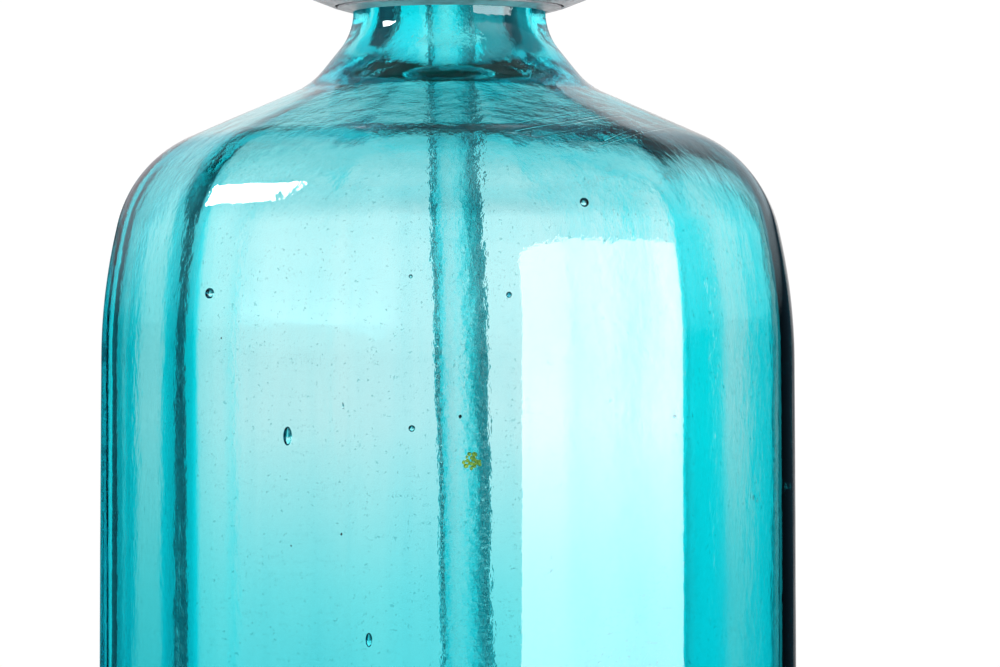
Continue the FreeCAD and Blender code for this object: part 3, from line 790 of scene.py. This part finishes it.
def area_light(name, azimuth, elevation, distance, width, height, power, roll=0.0):
    """A soft box that faces the bottle. Azimuth 0 is the camera's side, positive to its right."""
    data = bpy.data.lights.new(name, "AREA")
    data.shape = "RECTANGLE"
    data.size, data.size_y = width, height
    data.energy = power
    light = placed(name, data)
    turn = CAMERA_AZIMUTH + math.radians(azimuth)
    rise = math.radians(elevation)
    level = math.cos(rise)
    way = Vector((math.sin(turn) * level, -math.cos(turn) * level, math.sin(rise)))
    light.location = LIGHT_AIM + way * distance
    light.rotation_mode = "QUATERNION"
    light.rotation_quaternion = Quaternion(way, math.radians(roll)) @ way.to_track_quat("Z", "Y")
    light.visible_camera = False
    light.visible_transmission = False
    return light


# The studio round the bottle: degrees from straight behind it, and the colour from there on.
# What is seen through the glass:
SEEN_THROUGH = [
    (-180, (0.16, 0.46, 0.50)), (-150, (0.01, 0.07, 0.09)), (-110, (0.10, 0.32, 0.36)),
    (-75, (0.01, 0.06, 0.08)), (-27.7, (0.0, 0.86, 0.94)), (-9.5, (0.35, 0.94, 0.97)),
    (-7.5, (1.0, 1.0, 1.0)), (1.5, (0.20, 0.94, 0.98)), (3, (0.0, 0.90, 0.97)),
    (7.1, (0.01, 0.26, 0.30)), (40, (0.01, 0.08, 0.10)), (75, (0.10, 0.32, 0.36)),
    (110, (0.01, 0.08, 0.10)), (150, (0.16, 0.46, 0.50)),
]
THROUGH_SOFTNESS = 2.0      # degrees over which one colour changes to the next
# What polished surfaces reflect, near the floor and above it:
DARK_SIDE = (0.012, 0.03, 0.045)
REFLECTED_LOW = [(-180, DARK_SIDE), (-5, grey(1.0)), (5, DARK_SIDE)]
REFLECTED_HIGH = [
    (-180, grey(0.12)), (-50, (0.72, 0.70, 0.76)), (-9, grey(1.0)), (9, (0.75, 0.95, 1.05)),
    (50, grey(0.12)),
]
LOW_SOFTNESS, HIGH_SOFTNESS = 4.0, 6.0
LOW_TO_HIGH = [(0.10, grey(0.0)), (0.22, grey(1.0))]        # by the sine of the elevation
# What duller surfaces, the metal ones, reflect:
ROUGHLY_REFLECTED = [
    (-180, grey(0.30)), (-100, grey(0.55)), (-60, grey(1.0)), (60, grey(0.45)), (100, grey(0.20)),
]
ROUGH_SOFTNESS = 40.0
# How the first two change with the sine of the elevation:
THROUGH_RISE = [
    (0.0, grey(1.0)), (0.06, grey(1.0)), (0.20, (0.45, 0.80, 0.83)), (0.6, (0.32, 0.66, 0.69)),
    (1.0, (0.4, 0.7, 0.72)),
]
REFLECTED_RISE = [
    (0.0, grey(0.6)), (0.1, grey(1.0)), (0.5, grey(1.0)), (0.6, grey(0.3)), (1.0, grey(0.3)),
]
WORLD_STRENGTH = 1.02


def around_stops(steps, softness):
    """The stops of a ramp once round the studio, from -180 degrees to 180."""
    soft = softness / 360
    stops = [(0.0, steps[0][1])]
    for (_, before), (degrees, colour) in zip(steps, steps[1:]):
        place = (degrees + 180) / 360
        stops += [(place - soft / 2, before), (place + soft / 2, colour)]
    return stops


def make_world():
    """A white backdrop as the camera sees it, and darker sides for what the object shows of it."""
    world = bpy.data.worlds.new("studio")
    bpy.context.scene.world = world
    world.use_nodes = True
    tree = world.node_tree
    tree.nodes.clear()
    output = tree.nodes.new("ShaderNodeOutputWorld")
    coords = tree.nodes.new("ShaderNodeTexCoord")
    turn = tree.nodes.new("ShaderNodeMapping")
    turn.vector_type = "POINT"
    turn.inputs["Rotation"].default_value = (0, 0, -CAMERA_AZIMUTH)
    tree.links.new(coords.outputs["Generated"], turn.inputs["Vector"])
    split = tree.nodes.new("ShaderNodeSeparateXYZ")
    tree.links.new(turn.outputs[0], split.inputs[0])
    angle = tree.nodes.new("ShaderNodeMath")
    angle.operation = "ARCTAN2"
    tree.links.new(split.outputs[0], angle.inputs[0])
    tree.links.new(split.outputs[1], angle.inputs[1])
    spread = add(tree, "ShaderNodeMapRange")
    spread.inputs["From Min"].default_value = -math.pi
    spread.inputs["From Max"].default_value = math.pi
    tree.links.new(angle.outputs[0], spread.inputs[0])
    around, rise = spread.outputs[0], split.outputs[2]
    through = ramp(tree, around, around_stops(SEEN_THROUGH, THROUGH_SOFTNESS))
    through = mix_colour(tree, 1.0, through, ramp(tree, rise, THROUGH_RISE), "MULTIPLY")
    mirrored_low = ramp(tree, around, around_stops(REFLECTED_LOW, LOW_SOFTNESS))
    mirrored_high = ramp(tree, around, around_stops(REFLECTED_HIGH, HIGH_SOFTNESS))
    mirrored = mix_colour(tree, ramp(tree, rise, LOW_TO_HIGH), mirrored_low, mirrored_high)
    mirrored = mix_colour(tree, 1.0, mirrored, ramp(tree, rise, REFLECTED_RISE), "MULTIPLY")
    dull = ramp(tree, around, around_stops(ROUGHLY_REFLECTED, ROUGH_SOFTNESS))
    path = tree.nodes.new("ShaderNodeLightPath")
    seen = mix_colour(tree, path.outputs["Is Singular Ray"], dull, mirrored)
    seen = mix_colour(tree, path.outputs["Is Transmission Ray"], seen, through)
    for straight in ("Is Diffuse Ray", "Is Camera Ray"):
        seen = mix_colour(tree, path.outputs[straight], seen, grey(1.0))
    background = tree.nodes.new("ShaderNodeBackground")
    tree.links.new(seen, background.inputs[0])
    background.inputs[1].default_value = WORLD_STRENGTH
    tree.links.new(background.outputs[0], output.inputs[0])


def make_lights():
    area_light("soft_box_right", azimuth=52, elevation=-1.8, distance=1.5,
               width=1.5, height=1.30, power=50)
    area_light("soft_box_left", azimuth=-83, elevation=35, distance=1.4,
               width=0.27, height=0.34, power=18, roll=22)
    overhead = area_light("overhead", azimuth=0, elevation=80, distance=2.2,
                          width=1.4, height=1.4, power=20)
    overhead.visible_glossy = False


# ---- light paths ---------------------------------------------------------------------------------
# These aren't drawn in what the glass refracts, so that the neck shows the studio and not the dark
# inside of the head.
HEAD_SHELL = ("collar_nut", "head_casting", "split_ring_front", "split_ring_back")
# Light is reflected many times inside the glass, and where it is cut off, the glass turns black.
MAX_BOUNCES, GLASS_BOUNCES = 32, 24


def set_light_paths():
    for node in HEAD_SHELL:
        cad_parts[node].visible_transmission = False
    cycles = bpy.context.scene.cycles
    cycles.max_bounces = MAX_BOUNCES
    cycles.glossy_bounces = GLASS_BOUNCES
    cycles.transmission_bounces = GLASS_BOUNCES


make_camera()
make_bottle()
make_tube()
make_grains("dark_grains", DARK_GRAINS, (0.03, 0.05, 0.05), (0.01, 0.02, 0.02))
make_grains("moss_grains", moss_grains(), (0.62, 0.72, 0.10), (0.22, 0.38, 0.06))
paint_nodes()
make_floor()
make_world()
make_lights()
set_light_paths()
bpy.context.scene.view_settings.view_transform = "Standard"
